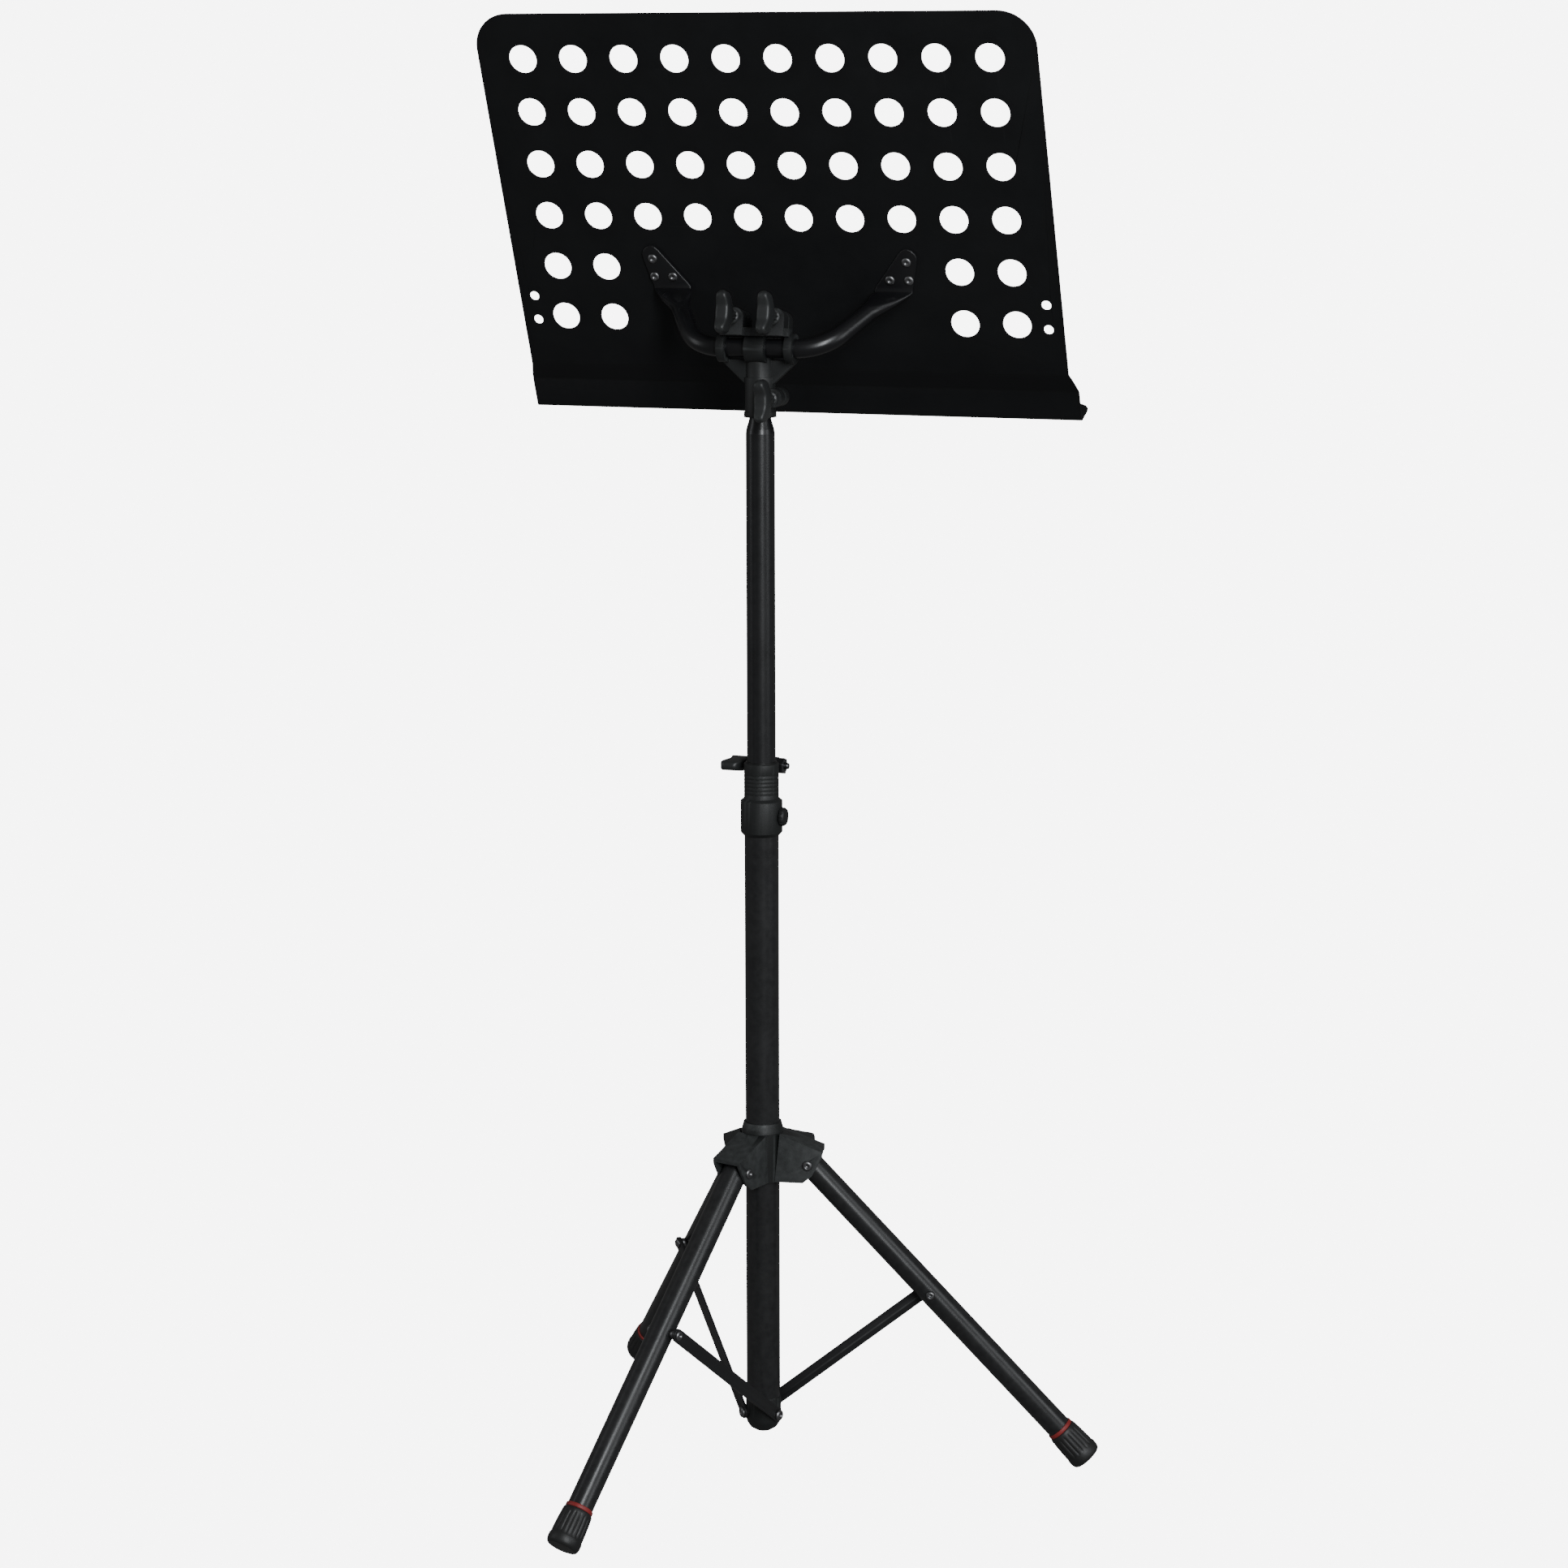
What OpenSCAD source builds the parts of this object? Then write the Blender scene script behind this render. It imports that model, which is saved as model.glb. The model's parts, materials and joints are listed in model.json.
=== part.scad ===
// Orchestra music stand: perforated sheet desk on a telescopic mast with a folding tripod.
// Millimetres, +Z up, origin on the floor under the mast axis, musician on the -Y side.

/* [Desk] */
// Width of the desk panel
desk_w = 496; // [420:2:560]
// Height of the desk panel above the ledge bend
desk_h = 376; // [330:2:430]
// Depth of the ledge that holds the sheets
ledge_depth = 33; // [25:1:60]
// Lean of the desk from upright, degrees
desk_lean = 22; // [0:1:60]
// Hole spacing across the desk
hole_pitch = 46; // [40:1:52]
// Diameter of the large desk holes
hole_d = 25; // [16:1:32]

/* [Mast] */
// Height of the desk's tilt axis above the floor
tilt_z = 993; // [860:1:1150]
// Outside diameter of the upper tube
upper_d = 25; // [20:0.5:28]
// Outside diameter of the lower tube
lower_d = 30; // [29:0.5:36]
// Height of the shoulder of the height collar
collar_z = 603; // [520:1:660]

/* [Tripod] */
// Angle of the open legs from vertical, degrees
leg_angle = 43; // [35:0.5:50]
// Length of a leg from its pivot to the tip
leg_len = 365.5; // [320:0.5:420]
// Outside diameter of a leg tube
leg_d = 22.4; // [18:0.2:24]
// Distance of a leg pivot from the mast axis
pivot_r = 40.8; // [38:0.2:48]

/* [Hidden] */
$fn = 64;

run = 0.06;             // radial clearance of a pivot or sliding tube
gap = 0.4;              // space left between pieces that move past each other
sheet = 1.5;            // desk sheet thickness
wall = 1.5;             // tube wall thickness
lower_wall = 1.8;       // and that of the lower mast tube
leg_azimuth = 73.7;     // direction of the first leg
lower_r = lower_d/2;
upper_r = upper_d/2;
leg_r = leg_d/2;

// Tripod: pivots, feet and struts
foot_r = leg_r + 3.6;                       // widest radius of a rubber foot
foot_rim = foot_r - 2;                      // radius where the foot meets the floor
worn = 0.6;                                 // depth of the flat worn on each foot
hub_z = leg_len*cos(leg_angle) + foot_rim*sin(leg_angle) - worn;
foot_len = 34;
ring_len = 3.5;
leg_over = 6.5;                             // leg tube beyond its pivot
strut_on_leg = leg_len*0.438;               // from the leg pivot to the strut rivet
cap_z = 43;                                 // height of the strut pivots on the bottom cap
cap_a = 3;                                  // strut pivot ahead of the mast axis
cap_r = lower_r + 0.8;
strut_y = cap_r + 0.2;                      // inner face of a strut, beside the mast
strut_t = 3;
strut_w = 11.5;
strut_dx = pivot_r + strut_on_leg*sin(leg_angle) - cap_a;
strut_dz = hub_z - strut_on_leg*cos(leg_angle) - cap_z;
strut_len = sqrt(strut_dx*strut_dx + strut_dz*strut_dz);
strut_tilt = atan2(strut_dx, strut_dz);     // from vertical
rivet_r = 2.5;
pivot_pin_r = 3;

// Hub casting
hub_low = hub_z - 16;
hub_shoulder = hub_z + 27.5;
hub_top = hub_shoulder + 9;
hub_r = lower_r + 3.3;
arm_in = leg_r + gap;                       // half width between the arm walls
arm_wall = 3;
arm_out = arm_in + arm_wall;
arm_end = pivot_r + 13.2;
lock_azimuth = leg_azimuth + 180;           // hub lock sits between the second and third legs
lock_z = hub_z + 10;
screw_r = 3;

// Height collar
collar_r = lower_r + 3.3;
sleeve_r = upper_r + 2.7;
sleeve_top = collar_z + 31;
bush_r = upper_r + 1;
lug_y = sleeve_r + 5.8;                     // pinch screw behind the sleeve
lug_z = sleeve_top - 6;
lug_x = 8;                                  // outer face of the pinch lug on the nut's side
knob_lug_x = 10;                            // and on the knob's side

// Mast tubes
lower_bottom = cap_z - 4;
upper_bottom = collar_z - 273;
spigot_r = upper_r - 3.1;                   // drawn-down top of the upper tube
neck_z = tilt_z - 59;                       // underside of the head casting

// Head
tube_r = 8;                                 // radius of the yoke tube
tilt_y = 6;                                 // tilt axis stands behind the mast axis
neck_r = upper_r + 0.5;
hook_x = 34;
hook_w = 7;
hook_r = tube_r + 4.6;
barrel_x = 9;
clamp_lean = 12;                            // the tilt screws rise a little towards the back
lug_up = 24;                                // from the tube's axis to the tilt screws
lug_x_tilt = 18.4;
lug_back = 14;
jaw_front = -10;
jaw_x = hook_x - hook_w - gap;
tilt_slack = 6;                             // screw showing between a lug and its knob
neck_lug_x = -15;                           // neck screw beside the spigot
neck_lug_z = neck_z + 17;
neck_lug_back = 11;
neck_lug_front = -10;
neck_slack = 7;

// Desk, in the tilting frame with its origin on the tilt axis
panel_y = -78.1;                             // back face of the panel
ledge_z = -106.4;
desk_top = ledge_z + desk_h;
desk_r = 32;                                // radius of the top corners
row_pitch = 48.1;
row_1 = desk_top - 40.7;
jog_z = -57.6;
jog_h = 21;
jog_y = 8;
flare = 5.5;                                // ledge strip is wider than the panel on each side
ear_z = 17.4;                                // crease between a flattened ear and the tube
ear_x = 101;
ear_t = 2.4;
bend_x = 33;
bend_r = 42;
bend_a = 62;
yoke_run = norm([panel_y, ear_z]);
yoke_rise = atan2(ear_z, -panel_y);
flat_len = 34;                              // tube pressed flat before it meets the panel
yoke_round = (yoke_run - bend_r*(1 - cos(bend_a)))/sin(bend_a) - flat_len;
yoke_rivet_at = [[115.5, 46.2], [99, 29.3], [116, 29.3]];

module leg_frame(k) {
    rotate([0, 0, leg_azimuth + 120*(k - 1)]) children();
}

module along_leg() {
    translate([pivot_r, 0, hub_z]) rotate([0, 180 - leg_angle, 0]) children();
}

module tube(r, wall_t, h) {
    difference() {
        cylinder(r = r, h = h);
        translate([0, 0, -1]) cylinder(r = r - wall_t, h = h + 2);
    }
}

// Domed rivet head, flat side on the XY plane
module rivet_head(r, h) {
    rotate_extrude() polygon([[0, 0], [r, 0], [r, h*0.35], [r*0.75, h*0.85], [r*0.4, h], [0, h]]);
}

module hex_nut(across, h, bore_r) {
    difference() {
        cylinder(d = across/cos(30), h = h, $fn = 6);
        translate([0, 0, -1]) cylinder(r = bore_r, h = h + 2);
    }
}

// Moulded wing knob standing on the XY plane: a ribbed boss, then a grip 36 mm across along X
module wing_knob() {
    grip_low = 13;
    grip_top = 30;
    half_w = 5.8;
    tip_r = 4.2;
    tip_x = 14;
    flank_r = (tip_x*tip_x + (half_w - tip_r)*(half_w - tip_r))/(2*(half_w - tip_r));
    difference() {
        union() {
            cylinder(r = 7, h = 2);
            cylinder(r = 5.2, h = grip_low + 8);
            for (i = [0:11]) rotate([0, 0, 30*i + 15]) translate([5, 0, 2]) cylinder(r = 0.8, h = grip_low - 2);
            intersection() {
                linear_extrude(grip_top + 1) union() {
                    intersection() {
                        translate([0, flank_r - half_w]) circle(r = flank_r, $fn = 360);
                        translate([0, half_w - flank_r]) circle(r = flank_r, $fn = 360);
                        square([2*tip_x, 20], center = true);
                    }
                    for (s = [-1, 1]) translate([s*tip_x, 0]) circle(r = tip_r);
                }
                rotate([90, 0, 0]) translate([0, 0, -10]) linear_extrude(20)
                    polygon([[-5, grip_low - 3], [5, grip_low - 3], [13, grip_low - 1], [18.3, grip_low + 3],
                             [18.3, grip_top - 2.5], [15, grip_top], [9, grip_top - 2], [5, grip_top - 4.5],
                             [-5, grip_top - 4.5], [-9, grip_top - 2], [-15, grip_top], [-18.3, grip_top - 2.5],
                             [-18.3, grip_low + 3], [-13, grip_low - 1]]);
            }
        }
        translate([0, 0, -1]) cylinder(r = screw_r, h = 21);
    }
}

// ---- mast, lower part ----

module lower_tube() {
    color([0.16, 0.16, 0.17]) translate([0, 0, lower_bottom])
        tube(lower_r, lower_wall, collar_z - 1 - lower_bottom);
}

// Moulded plug that closes the tube and carries the strut pivots
module bottom_cap() {
    color([0.15, 0.16, 0.16]) {
        difference() {
            union() {
                rotate_extrude() polygon([[0, 24.8], [7, 25.8], [12, 29], [cap_r - 1.2, 33], [cap_r, 37],
                                          [cap_r, 57], [cap_r - 0.8, 58], [0, 58]]);
                for (k = [1:3]) leg_frame(k) translate([cap_a, cap_r - 4, cap_z]) rotate([-90, 0, 0])
                    cylinder(r = 5.5, h = 4);
            }
            translate([0, 0, lower_bottom]) cylinder(r = lower_r, h = 40);
        }
        translate([0, 0, lower_bottom - 1]) cylinder(r = lower_r - lower_wall, h = 16);
    }
}

module cap_pivots() {
    color([0.55, 0.56, 0.57]) for (k = [1:3]) leg_frame(k) translate([cap_a, cap_r, cap_z])
        rotate([-90, 0, 0]) {
        cylinder(r = rivet_r, h = strut_t + 1);
        translate([0, 0, strut_t + 0.2 + 0.3]) rivet_head(5, 2.2);
    }
}

// ---- height collar on the top of the lower tube ----

module height_collar() {
    low = collar_z - 33;
    color([0.2, 0.21, 0.21]) difference() {
        union() {
            rotate_extrude() difference() {
                union() {
                    polygon([[0, low], [lower_r + 0.6, low], [collar_r, low + 3], [collar_r, collar_z - 2.5],
                             [sleeve_r, collar_z], [0, collar_z]]);
                    polygon([[0, collar_z - 1], [sleeve_r, collar_z - 1], [sleeve_r, sleeve_top - 0.8],
                             [sleeve_r - 0.8, sleeve_top], [0, sleeve_top]]);
                }
                for (i = [0:5]) translate([sleeve_r - 0.4, collar_z + 3.5 + 3.4*i]) square([1, 1]);
            }
            translate([-lug_x, -lug_y, lug_z]) rotate([0, 90, 0]) cylinder(r = 7.5, h = lug_x + knob_lug_x);
            translate([-lug_x, -lug_y, lug_z - 7.5]) cube([2*lug_x, lug_y, 13.5]);
        }
        translate([0, 0, low - 1]) cylinder(r = lower_r, h = collar_z - low);
        translate([0, 0, low]) cylinder(r = bush_r, h = 80);
        translate([-1.25, -lug_y - 10, collar_z + 1]) cube([2.5, lug_y + 10, 60]);
        translate([-30, -lug_y, lug_z]) rotate([0, 90, 0]) cylinder(r = screw_r + 0.1, h = 60);
    }
}

// Slit plastic liner that the upper tube slides in
module collar_bush() {
    color([0.09, 0.09, 0.09]) difference() {
        translate([0, 0, collar_z - 1]) cylinder(r = bush_r, h = sleeve_top - collar_z + 2);
        translate([0, 0, collar_z - 2]) cylinder(r = upper_r + run, h = 60);
        translate([-1.25, -40, collar_z + 1]) cube([2.5, 40, 60]);
    }
}

module collar_screw() {
    color([0.24, 0.25, 0.25]) rotate([0, 0, 180]) translate([collar_r, 0, collar_z - 16]) rotate([0, 90, 0]) {
        difference() {
            rotate_extrude() polygon([[0, 0], [8.2, 0], [8.2, 2.5], [7, 4.2], [3, 5.2], [0, 5.2]]);
            for (i = [0:11]) rotate([0, 0, 30*i]) translate([8.8, 0, -1]) cylinder(r = 1.1, h = 10);
        }
    }
}

module height_nut() {
    color([0.5, 0.51, 0.53]) translate([-lug_x, -lug_y, lug_z]) rotate([0, -90, 0]) rotate([0, 0, 12])
        hex_nut(13, 6.5, screw_r + run);
}

module height_screw() {
    color([0.5, 0.51, 0.53]) translate([knob_lug_x + 16, -lug_y, lug_z]) rotate([0, -90, 0])
        cylinder(r = screw_r, h = knob_lug_x + lug_x + 26);
}

module height_knob() {
    color([0.17, 0.18, 0.18]) translate([knob_lug_x + 0.3, -lug_y, lug_z]) rotate([0, 90, 0])
        rotate([0, 0, 90]) wing_knob();
}

// ---- tripod hub, sliding on the lower tube ----

module hub_arm() {
    difference() {
        translate([0, arm_out, 0]) rotate([90, 0, 0]) linear_extrude(2*arm_out)
            polygon([[12, hub_low + 0.5], [pivot_r - 4, hub_low], [pivot_r + 4, hub_z - 9.5],
                     [arm_end, hub_z + 8], [arm_end, hub_z + 12.5], [hub_r - 2, hub_shoulder]]);
        translate([hub_r, arm_in, 0]) rotate([90, 0, 0]) linear_extrude(2*arm_in)
            polygon([[0, hub_low - 5], [60, hub_low - 5], [60, hub_z + 7], [arm_end - hub_r, hub_z + 9.3],
                     [0, hub_shoulder - 4]]);
        translate([pivot_r, -30, hub_z]) rotate([-90, 0, 0]) cylinder(r = pivot_pin_r, h = 60);
    }
}

// Line of the hub's lock screw, outwards along Z
module lock_line() {
    rotate([0, 0, lock_azimuth]) translate([0, 0, lock_z]) rotate([0, 90, 0]) children();
}

module hub_casting() {
    color([0.2, 0.21, 0.21]) difference() {
        union() {
            rotate_extrude() polygon([[0, hub_low], [hub_r, hub_low], [hub_r, hub_shoulder],
                                      [hub_r + 0.6, hub_shoulder + 0.5], [hub_r - 1.6, hub_top], [0, hub_top]]);
            for (k = [1:3]) leg_frame(k) hub_arm();
            lock_line() cylinder(r = 7, h = hub_r + 10);
        }
        translate([0, 0, hub_low - 1]) cylinder(r = lower_r + run, h = 80);
        lock_line() cylinder(r = screw_r + run, h = 40);
    }
}

module leg_pivots() {
    color([0.45, 0.46, 0.47]) for (k = [1:3]) leg_frame(k) translate([pivot_r, 0, hub_z]) {
        translate([0, -arm_out, 0]) rotate([-90, 0, 0]) cylinder(r = pivot_pin_r, h = 2*arm_out);
        translate([0, arm_out, 0]) rotate([-90, 0, 0]) rivet_head(4.6, 2);
        translate([0, -arm_out, 0]) rotate([90, 0, 0]) rivet_head(4.6, 2);
    }
}

module hub_screw() {
    color([0.5, 0.51, 0.53]) lock_line() translate([0, 0, lower_r + gap])
        cylinder(r = screw_r, h = hub_r - lower_r + 24);
}

module hub_knob() {
    color([0.17, 0.18, 0.18]) lock_line() translate([0, 0, hub_r + 10.3])
        rotate([0, 0, 90]) wing_knob();
}

// ---- legs ----

module leg_tube(k) {
    color([0.17, 0.17, 0.18]) leg_frame(k) difference() {
        along_leg() translate([0, 0, -leg_over]) tube(leg_r, wall, leg_len + leg_over - 10);
        translate([pivot_r, -30, hub_z]) rotate([-90, 0, 0]) cylinder(r = pivot_pin_r + run, h = 60);
    }
}

module foot_ring(k) {
    color([0.5, 0.14, 0.16]) leg_frame(k) along_leg() translate([0, 0, leg_len - foot_len - ring_len])
        difference() {
        cylinder(r = leg_r + 1.1, h = ring_len);
        translate([0, 0, -1]) cylinder(r = leg_r, h = ring_len + 2);
    }
}

// Flared rubber ferrule, worn flat where it stands
module foot(k) {
    color([0.08, 0.08, 0.08]) leg_frame(k) difference() {
        along_leg() translate([0, 0, leg_len - foot_len]) difference() {
            rotate_extrude() polygon([[0, 0], [leg_r + 1.4, 0], [leg_r + 2, 1.5],
                                      [foot_r - 0.6, 22], [foot_r - 0.6, 24.5],
                                      [foot_r, 25.5], [foot_r, 30], [foot_rim, foot_len], [0, foot_len]]);
            translate([0, 0, -1]) cylinder(r = leg_r, h = foot_len - 9);
            for (i = [0:17]) rotate([0, 0, 20*i]) translate([foot_r + 0.4, 0, 13]) cylinder(r = 1, h = 9.5);
        }
        translate([100, -100, -60]) cube([400, 200, 60]);
    }
}

module leg_rivet(k) {
    color([0.45, 0.46, 0.47]) leg_frame(k) along_leg() difference() {
        translate([0, -leg_r + 1, strut_on_leg]) rotate([90, 0, 0]) {
            cylinder(r = 4.2, h = 1.2);
            translate([0, 0, 1.2]) rivet_head(4.2, 2.2);
        }
        cylinder(r = leg_r + 0.01, h = leg_len);
    }
}

// ---- struts between the bottom cap and the legs ----

module strut_place() {
    translate([cap_a, strut_y, cap_z]) rotate([0, strut_tilt, 0]) children();
}

module strut(k) {
    color([0.14, 0.14, 0.15]) leg_frame(k) strut_place() translate([0, strut_t, 0]) rotate([90, 0, 0])
        linear_extrude(strut_t)
        difference() {
            union() {
                translate([-strut_w/2, 0]) square([strut_w, strut_len]);
                circle(d = strut_w);
                translate([0, strut_len]) circle(d = strut_w);
            }
            circle(r = rivet_r + run);
            translate([0, strut_len]) circle(r = rivet_r);
        }
}

// Shouldered rivet that spaces the strut off the leg tube
module strut_rivet(k) {
    spacer = strut_y - leg_r - gap;
    color([0.45, 0.46, 0.47]) leg_frame(k) strut_place() translate([0, 0, strut_len]) rotate([-90, 0, 0]) {
        cylinder(r = rivet_r, h = strut_t);
        translate([0, 0, -spacer]) cylinder(r = 4.2, h = spacer);
        translate([0, 0, strut_t]) rivet_head(4.4, 2);
    }
}

// ---- upper tube ----

module upper_tube() {
    swage = neck_z - 14;
    color([0.17, 0.17, 0.18]) rotate_extrude() polygon([
        [upper_r - wall, upper_bottom], [upper_r, upper_bottom], [upper_r, swage], [upper_r - 0.6, swage + 4],
        [spigot_r + 0.4, neck_z - 3], [spigot_r, neck_z - 1], [spigot_r, neck_z + 32],
        [spigot_r - wall, neck_z + 32],
        [spigot_r - wall, neck_z - 1], [upper_r - wall - 0.6, swage + 4], [upper_r - wall, swage]]);
}

// Plastic plug that guides the upper tube inside the lower one
module tube_guide() {
    color([0.09, 0.09, 0.09]) {
        translate([0, 0, upper_bottom - 12]) cylinder(r = lower_r - lower_wall - 0.1, h = 12);
        translate([0, 0, upper_bottom - 1]) cylinder(r = upper_r - wall, h = 14);
    }
}

// ---- head: swivels on the upper tube and holds the desk's yoke ----

module tilt_axis_frame() {
    translate([0, tilt_y, tilt_z]) children();
}

module tilt_barrel(x0, x1, r) {
    tilt_axis_frame() translate([x0, 0, 0]) rotate([0, 90, 0]) cylinder(r = r, h = x1 - x0);
}

// The tilt clamp's own frame, its screws along Y
module clamp_frame() {
    tilt_axis_frame() rotate([clamp_lean, 0, 0]) children();
}

module tilt_screw_line(k) {
    clamp_frame() translate([k == 1 ? lug_x_tilt : -lug_x_tilt, 0, lug_up]) rotate([-90, 0, 0]) children();
}

module neck_screw_line() {
    translate([neck_lug_x, 0, neck_lug_z]) rotate([-90, 0, 0]) children();
}

// Braces from the neck to the end rings
module head_web() {
    translate([0, 3.5, 0]) rotate([90, 0, 0]) linear_extrude(7)
        polygon([[-10, neck_z + 26], [10, neck_z + 26],
                 [hook_x - 2, tilt_z - 13], [hook_x - 0.5, tilt_z - 10.5],
                 [-hook_x + 0.5, tilt_z - 10.5], [-hook_x + 2, tilt_z - 13]]);
}

// A round-topped lug of the tilt clamp between two depths
module tilt_lugs(y0, y1) {
    for (x = [-lug_x_tilt, lug_x_tilt]) clamp_frame() translate([x, y1, 0]) rotate([90, 0, 0])
        linear_extrude(y1 - y0) union() {
            translate([0, lug_up]) circle(r = 8.4);
            translate([-8.4, 9]) square([16.8, lug_up - 9]);
        }
}

module head_casting() {
    color([0.2, 0.21, 0.21]) difference() {
        union() {
            translate([0, 0, neck_z]) cylinder(r = neck_r + 1, h = 4.5);
            translate([0, 0, neck_z]) cylinder(r = neck_r, h = 34);
            translate([0, 0, neck_z + 33]) cylinder(r = neck_r - 1.5, h = tilt_z - neck_z - 33);
            tilt_barrel(-barrel_x, barrel_x, hook_r);
            tilt_barrel(-hook_x, -hook_x + hook_w, hook_r);
            tilt_barrel(hook_x - hook_w, hook_x, hook_r);
            head_web();
            clamp_frame() translate([-hook_x + 3, 2, tube_r + 0.7]) cube([2*hook_x - 6, lug_back - 4, 7]);
            tilt_lugs(2, lug_back);
            neck_screw_line() translate([0, 0, neck_lug_front])
                cylinder(r = 8, h = neck_lug_back - neck_lug_front);
            translate([neck_lug_x, neck_lug_front, neck_lug_z - 8])
                cube([-neck_lug_x, neck_lug_back - neck_lug_front, 16]);
        }
        tilt_barrel(-60, 60, tube_r + run);
        clamp_frame() translate([-jaw_x - gap/2, -40, -3 - gap]) cube([2*jaw_x + gap, 40 + 1.4, 60]);
        translate([0, 0, neck_z - 1]) cylinder(r = spigot_r + run, h = 34);
        translate([-40, -1.25, neck_z - 1]) cube([40, 2.5, 34]);
        for (k = [1, 2]) tilt_screw_line(k) translate([0, 0, -5]) cylinder(r = screw_r + 0.2, h = 40);
        neck_screw_line() translate([0, 0, -30]) cylinder(r = screw_r + 0.1, h = 60);
    }
}

// Front half of the tilt clamp, drawn back against the tube
module tilt_jaw() {
    color([0.2, 0.21, 0.21]) difference() {
        union() {
            clamp_frame() translate([-jaw_x, jaw_front, -3]) cube([2*jaw_x, 1 - jaw_front, 17]);
            tilt_lugs(jaw_front, 1);
        }
        tilt_barrel(-60, 60, tube_r + run);
        for (k = [1, 2]) tilt_screw_line(k) translate([0, 0, -40]) cylinder(r = screw_r + 0.2, h = 60);
    }
}

module tilt_nut(k) {
    color([0.5, 0.51, 0.53]) tilt_screw_line(k) translate([0, 0, jaw_front - 5]) hex_nut(10, 5, screw_r + run);
}

module tilt_screw(k) {
    color([0.5, 0.51, 0.53]) tilt_screw_line(k) translate([0, 0, jaw_front - 7])
        cylinder(r = screw_r, h = lug_back + tilt_slack + 19 - jaw_front + 7);
}

module tilt_knob(k) {
    color([0.17, 0.18, 0.18]) tilt_screw_line(k) translate([0, 0, lug_back + tilt_slack])
        rotate([0, 0, 90]) wing_knob();
}

module neck_nut() {
    color([0.5, 0.51, 0.53]) neck_screw_line() translate([0, 0, neck_lug_front - 5])
        hex_nut(10, 5, screw_r + run);
}

module neck_screw() {
    color([0.5, 0.51, 0.53]) neck_screw_line() translate([0, 0, neck_lug_front - 7])
        cylinder(r = screw_r, h = neck_lug_back + neck_slack + 19 - neck_lug_front + 7);
}

module neck_knob() {
    color([0.17, 0.18, 0.18]) neck_screw_line() translate([0, 0, neck_lug_back + neck_slack]) rotate([0, 0, 90])
        wing_knob();
}

// ---- desk ----

module desk_frame() {
    tilt_axis_frame() rotate([-desk_lean, 0, 0]) children();
}

// Outline of the flat panel in X and Z, with rounded top corners
module panel_outline() {
    union() {
        translate([-desk_w/2, jog_z]) square([desk_w, desk_top - desk_r - jog_z]);
        translate([-desk_w/2 + desk_r, jog_z]) square([desk_w - 2*desk_r, desk_top - jog_z]);
        for (s = [-1, 1]) translate([s*(desk_w/2 - desk_r), desk_top - desk_r]) circle(r = desk_r);
    }
}

module desk_holes() {
    for (j = [0:5], i = [0:9]) if (j < 4 || i < 2 || i > 7)
        translate([(i - 4.5)*hole_pitch, row_1 - j*row_pitch]) circle(d = hole_d);
    for (s = [-1, 1], z = [7.2, -15.6]) translate([s*(desk_w/2 - 13.7), z]) circle(d = 8.6);
    for (s = [-1, 1], p = yoke_rivet_at) translate([s*p[0], p[1]]) circle(r = rivet_r);
}

// Section of the jogged strip and ledge in Y and Z, extruded across the desk
module ledge_section() {
    y0 = panel_y - sheet;
    y1 = y0 - jog_y;
    z1 = jog_z - jog_h;
    union() {
        polygon([[panel_y, jog_z + 0.01], [panel_y, jog_z], [panel_y - 1, jog_z - 5], [y1 + sheet + 1, z1 + 5],
                 [y1 + sheet, z1], [y1 + sheet, ledge_z + 3], [y1, ledge_z + 3], [y1, z1], [y1 + 1, z1 + 5.6],
                 [y0 - 1, jog_z - 4.4], [y0, jog_z], [y0, jog_z + 0.01]]);
        difference() {
            translate([y1 - 1.5, ledge_z + 3]) circle(r = 3);
            translate([y1 - 1.5, ledge_z + 3]) circle(r = 1.5);
            translate([y1 - 10, ledge_z + 3]) square([20, 10]);
            translate([y1 - 11.5, ledge_z - 1]) square([10, 10]);
        }
        translate([y1 + sheet - ledge_depth, ledge_z]) square([ledge_depth - 3, sheet]);
    }
}

module ledge_body() {
    w = desk_w + 2*flare;
    corner = 12;
    y_far = panel_y - jog_y - ledge_depth;
    difference() {
        rotate([90, 0, 90]) translate([0, 0, -w/2]) linear_extrude(w) ledge_section();
        for (s = [-1, 1]) {
            translate([s*desk_w/2 + (s < 0 ? -30 : 0), panel_y - 40, jog_z - 6]) cube([30, 45, 20]);
            translate([s*(w/2 - corner), y_far + corner, ledge_z - 5]) difference() {
                translate([s > 0 ? 0 : -corner - 1, -corner - 1, 0]) cube([corner + 1, corner + 1, 10]);
                translate([0, 0, -1]) cylinder(r = corner, h = 12);
            }
            translate([s*desk_w/2, panel_y + 5, jog_z - 6]) rotate([90, 0, 0]) linear_extrude(20)
                polygon([[0, 1], [s*(flare + 1), 1], [s*(flare + 1), -jog_h + 2], [s*flare, -jog_h + 2]]);
        }
    }
}

module desk_panel() {
    color([0.075, 0.08, 0.09]) desk_frame() union() {
        translate([0, panel_y, 0]) rotate([90, 0, 0]) linear_extrude(sheet) difference() {
            panel_outline();
            desk_holes();
        }
        ledge_body();
    }
}

// Start of a straight leg of the yoke, with the leg along Z and the yoke's plane in YZ
module yoke_leg() {
    rotate([-yoke_rise, 0, 0]) translate([bend_x + bend_r*sin(bend_a), -bend_r*(1 - cos(bend_a)), 0])
        rotate([0, 0, -bend_a]) rotate([0, 90, 0]) children();
}

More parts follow.
